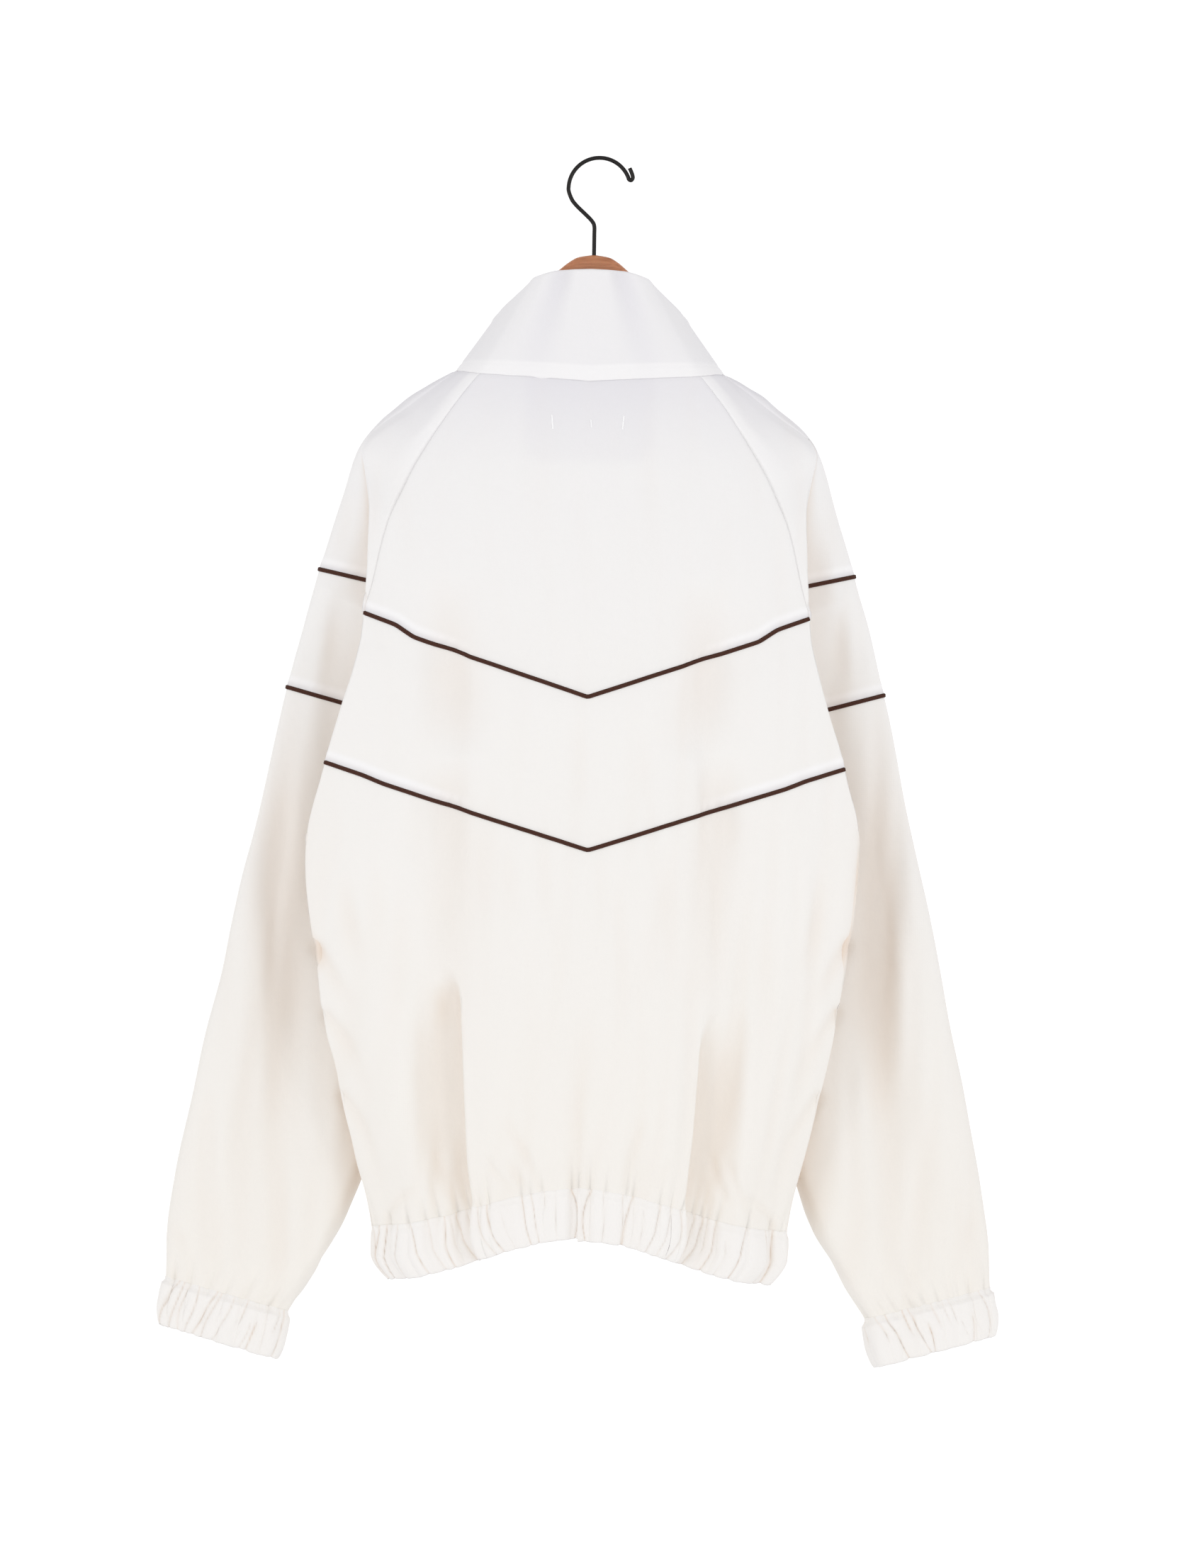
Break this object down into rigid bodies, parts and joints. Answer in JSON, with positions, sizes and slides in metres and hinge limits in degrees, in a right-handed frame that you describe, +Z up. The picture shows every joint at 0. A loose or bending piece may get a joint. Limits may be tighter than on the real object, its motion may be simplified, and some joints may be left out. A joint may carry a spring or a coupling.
{
  "type": "track jacket on a hanger",
  "caption": "Raglan track jacket with stand collar, piped V seams and gathered hem and cuffs, zipped shut on a wooden hanger with a wire hook.",
  "frame": {"origin": "inside the top of the hanger's hook, where a rail bears, in the jacket's middle plane", "axes": "+Z up, +Y out of the jacket's zipped front, so that its back faces -Y, and x = 0 at centre back"},
  "size_m": [0.6766, 0.1762, 0.987],
  "materials": {
    "shell_cloth": "matte plain weave",
    "piping": "matte corded",
    "zip_tape": "matte woven",
    "zip_metal": "satin",
    "wood": "satin varnish",
    "hook_metal": "dark satin"
  },
  "bodies": {
    "jacket_and_hanger": {"back_upper": "shell_cloth", "back_middle": "shell_cloth", "back_lower": "shell_cloth", "front_upper_left": "shell_cloth", "front_upper_right": "shell_cloth", "front_middle_left": "shell_cloth", "front_middle_right": "shell_cloth", "front_lower_left": "shell_cloth", "front_lower_right": "shell_cloth", "sleeve_upper_left": "shell_cloth", "sleeve_upper_right": "shell_cloth", "sleeve_middle_left": "shell_cloth", "sleeve_middle_right": "shell_cloth", "sleeve_lower_left": "shell_cloth", "sleeve_lower_right": "shell_cloth", "cuff_left": "shell_cloth", "cuff_right": "shell_cloth", "hem_band_left": "shell_cloth", "hem_band_right": "shell_cloth", "collar": "shell_cloth", "piping_back_upper": "piping", "piping_back_lower": "piping", "piping_front_upper_left": "piping", "piping_front_upper_right": "piping", "piping_front_lower_left": "piping", "piping_front_lower_right": "piping", "piping_sleeve_upper_left": "piping", "piping_sleeve_upper_right": "piping", "piping_sleeve_lower_left": "piping", "piping_sleeve_lower_right": "piping", "zip_tape_left": "zip_tape", "zip_tape_right": "zip_tape", "zip_slider": "zip_metal", "hanger_wood": "wood", "hanger_hook": "hook_metal"},
    "pull_tab": {"zip_pull": "zip_metal"}
  },
  "joints": [
    {"name": "pull_tab_hinge", "type": "hinge", "parent": "jacket_and_hanger", "child": "pull_tab", "pos_m": [0, 0.07125, -0.167], "axis": [1, 0, 0], "range_deg": [0, 165]}
  ]
}
